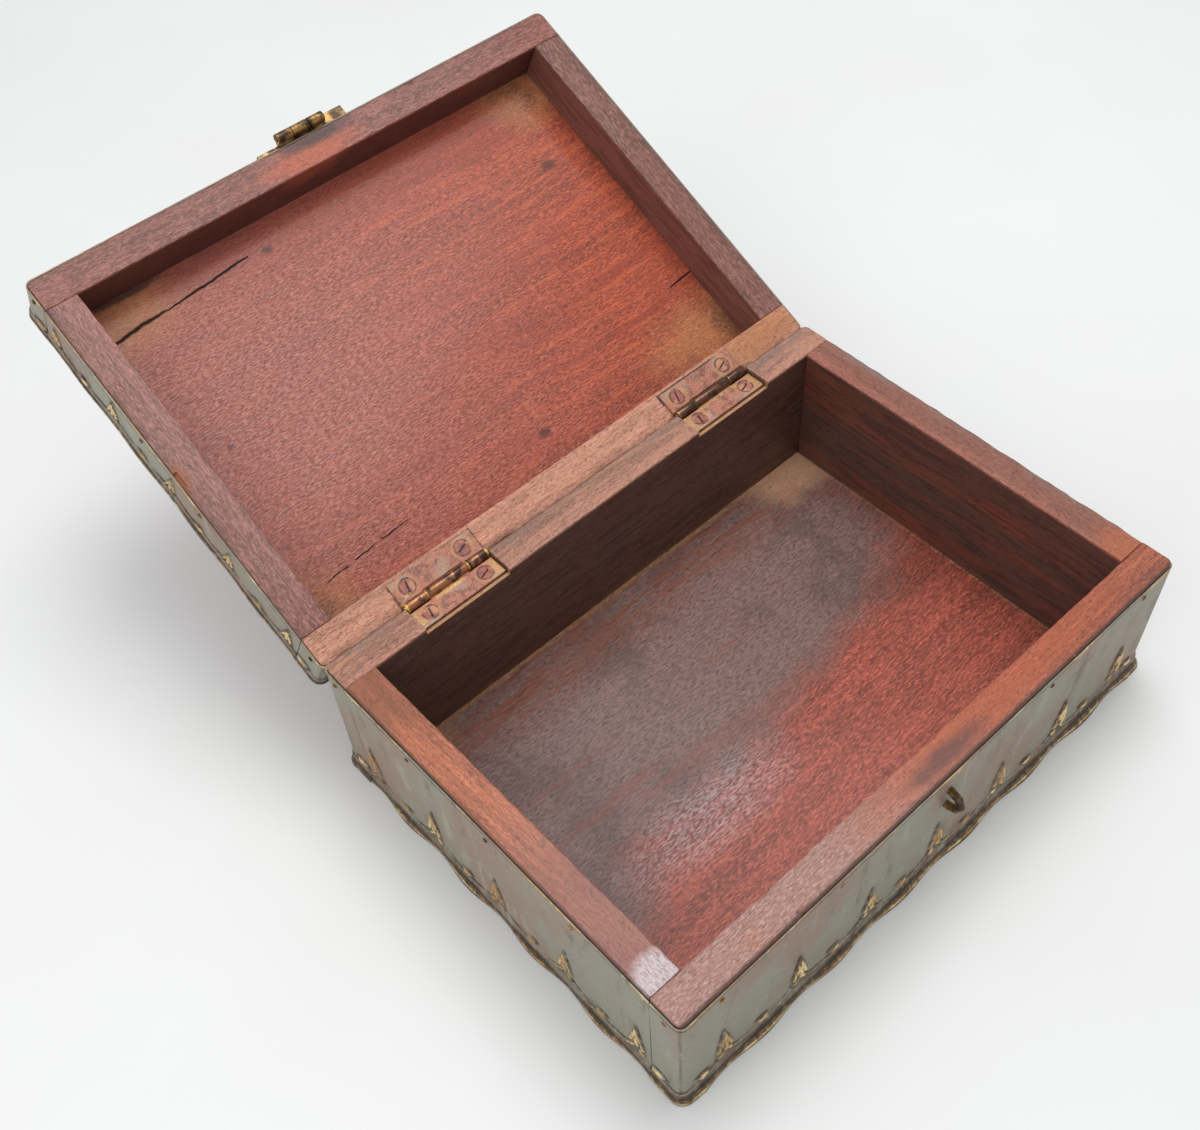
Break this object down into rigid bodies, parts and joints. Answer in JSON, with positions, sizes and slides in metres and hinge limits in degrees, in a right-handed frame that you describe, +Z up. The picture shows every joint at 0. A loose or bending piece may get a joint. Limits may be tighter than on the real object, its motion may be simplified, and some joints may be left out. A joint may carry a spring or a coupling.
{
  "type": "hinged wooden storage box",
  "caption": "Shallow hinged wooden box clad in embossed sheet metal, with a hasp and a staple, standing with its lid open.",
  "frame": {"origin": "centre of the underside of the base, on the surface it stands on", "axes": "+X along the width to the right as seen from the hasp side, +Y to the hinge side, +Z up; the lid is stored open, leaning back over +Y"},
  "size_m": [0.2582, 0.367, 0.147],
  "materials": {
    "stained_board": "red-brown stain under worn varnish",
    "panel_board": "red-brown varnish, glossy inside",
    "sheet_metal": "tarnished grey-green with brass rubbed through",
    "hardware": "aged bronze-brown"
  },
  "bodies": {
    "base": {"base_front_board": "stained_board", "base_back_board": "stained_board", "base_left_board": "stained_board", "base_right_board": "stained_board", "base_bottom_board": "stained_board", "base_front_sheet": "sheet_metal", "base_back_sheet": "sheet_metal", "base_left_sheet": "sheet_metal", "base_right_sheet": "sheet_metal", "base_sheet_tacks": "hardware", "hinge_left_base_plate": "hardware", "hinge_right_base_plate": "hardware", "hinge_left_pin": "hardware", "hinge_right_pin": "hardware", "base_hinge_screws": "hardware", "base_staple": "hardware"},
    "lid": {"lid_front_rail": "stained_board", "lid_back_rail": "stained_board", "lid_left_rail": "stained_board", "lid_right_rail": "stained_board", "lid_panel": "panel_board", "lid_front_sheet": "sheet_metal", "lid_back_sheet": "sheet_metal", "lid_left_sheet": "sheet_metal", "lid_right_sheet": "sheet_metal", "lid_sheet_tacks": "hardware", "hinge_left_lid_plate": "hardware", "hinge_right_lid_plate": "hardware", "lid_hinge_screws": "hardware", "hasp_plate": "hardware", "hasp_plate_tacks": "hardware", "hasp_pin": "hardware"},
    "hasp": {"hasp_tongue": "hardware"}
  },
  "joints": [
    {"name": "lid_hinge", "type": "hinge", "parent": "base", "child": "lid", "pos_m": [0, 0.0902, 0.06275], "axis": [1, 0, 0], "range_deg": [0, 153.4]},
    {"name": "hasp_hinge", "type": "hinge", "parent": "lid", "child": "hasp", "pos_m": [0, 0.2543, 0.14487], "axis": [1, 0, 0], "range_deg": [0, 180]}
  ]
}
